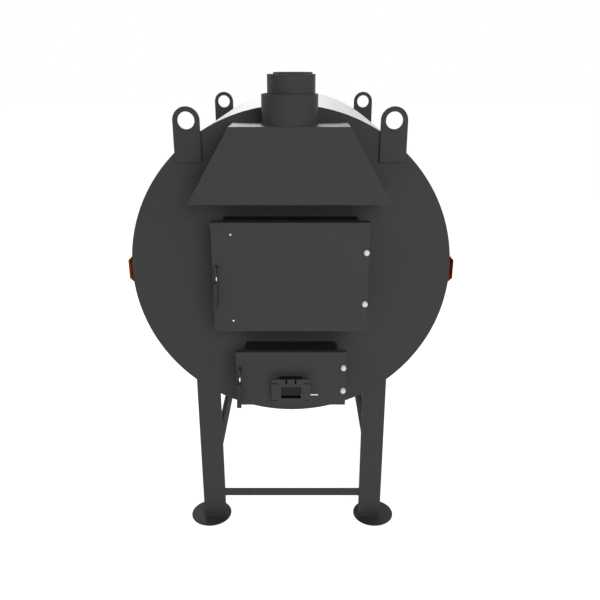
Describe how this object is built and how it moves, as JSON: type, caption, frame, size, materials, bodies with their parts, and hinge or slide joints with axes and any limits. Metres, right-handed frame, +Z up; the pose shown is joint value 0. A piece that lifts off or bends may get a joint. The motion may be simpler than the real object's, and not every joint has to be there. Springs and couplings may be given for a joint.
{
  "type": "solid fuel air heater",
  "caption": "Horizontal drum on angle legs that burns solid fuel and warms air, with a loading door, an ash door, a smoke box and a rear fan.",
  "frame": {"origin": "On the floor, under the middle of the drum and of the whole heater.", "axes": "+Z up, +Y from the doors to the fan end, +X to the right as seen from the doors."},
  "size_m": [1.228, 1.584, 1.8416],
  "materials": {
    "dark_paint": "satin charcoal heat-proof paint",
    "casing_paint": "satin near-white paint",
    "strip_paint": "satin orange-brown paint",
    "black_steel": "black heat-proof paint",
    "firebox_steel": "bare mill-scale steel",
    "zinc": "bright zinc plate",
    "cast_iron": "rough cast iron",
    "fire_brick": "rough fire brick",
    "rope_seal": "woven rope",
    "grip": "matt dark grip",
    "galvanised": "galvanised sheet",
    "motor_paint": "semi-gloss grey enamel",
    "aluminium": "cast aluminium"
  },
  "bodies": {
    "heater": {"front_plate": "dark_paint", "rear_plate": "dark_paint", "casing_lower": "casing_paint", "casing_upper": "casing_paint", "casing_bolts": "zinc", "side_strips": "strip_paint", "lifting_lugs": "dark_paint", "leg_front_left": "dark_paint", "leg_front_right": "dark_paint", "leg_rear_left": "dark_paint", "leg_rear_right": "dark_paint", "foot_plates": "dark_paint", "cross_bars": "dark_paint", "side_rails": "dark_paint", "smoke_box": "dark_paint", "flue_collar": "dark_paint", "flue_reducer": "dark_paint", "flue_inner_ring": "dark_paint", "loading_tunnel": "black_steel", "ash_tunnel": "black_steel", "firebox_shell": "firebox_steel", "firebox_rear_wall": "firebox_steel", "smoke_chamber": "firebox_steel", "flue_tubes": "firebox_steel", "grate_supports": "firebox_steel", "grate_bars": "cast_iron", "ash_pan_rails": "firebox_steel", "ash_pan": "black_steel", "air_baffle": "galvanised", "outlet_spigot": "galvanised", "fan_ring": "galvanised", "fan_guard": "black_steel", "fan_spider": "galvanised", "fan_motor": "motor_paint", "hinge_brackets": "black_steel", "hinge_pins": "zinc", "latch_keepers": "black_steel"},
    "fuel_door": {"fuel_door_panel": "dark_paint", "fuel_door_liner": "fire_brick", "fuel_door_seal": "rope_seal", "fuel_hinge_eyebolts": "zinc", "fuel_hinge_nuts": "zinc", "fuel_latch_bolt": "dark_paint", "fuel_liner_screws": "zinc"},
    "fuel_latch": {"fuel_latch_lever": "dark_paint", "fuel_latch_handle": "grip"},
    "ash_door": {"ash_door_panel": "dark_paint", "ash_door_liner": "fire_brick", "ash_door_seal": "rope_seal", "ash_hinge_eyebolts": "zinc", "ash_hinge_nuts": "zinc", "ash_latch_bolt": "dark_paint", "damper_housing": "dark_paint"},
    "ash_latch": {"ash_latch_lever": "dark_paint", "ash_latch_handle": "grip"},
    "damper": {"damper_flap": "dark_paint", "damper_rod": "zinc"},
    "fan": {"fan_shaft": "zinc", "fan_impeller": "aluminium"}
  },
  "joints": [
    {"name": "fuel_door_hinge", "type": "hinge", "parent": "heater", "child": "fuel_door", "pos_m": [0.269, -0.68, 1.1428], "axis": [0, 0, 1], "range_deg": [0, 115]},
    {"name": "fuel_latch_turn", "type": "hinge", "parent": "fuel_door", "child": "fuel_latch", "pos_m": [-0.264, -0.718, 1.174], "axis": [-1, 0, 0], "range_deg": [0, 30]},
    {"name": "ash_door_hinge", "type": "hinge", "parent": "heater", "child": "ash_door", "pos_m": [0.1985, -0.68, 0.7362], "axis": [0, 0, 1], "range_deg": [0, 115]},
    {"name": "ash_latch_turn", "type": "hinge", "parent": "ash_door", "child": "ash_latch", "pos_m": [-0.1935, -0.71, 0.769], "axis": [-1, 0, 0], "range_deg": [0, 30]},
    {"name": "damper_turn", "type": "hinge", "parent": "ash_door", "child": "damper", "pos_m": [0, -0.745, 0.681], "axis": [-1, 0, 0], "range_deg": [0, 75]},
    {"name": "fan_spin", "type": "hinge", "parent": "heater", "child": "fan", "pos_m": [0, 0.63, 0.884], "axis": [0, 1, 0], "continuous": true}
  ]
}
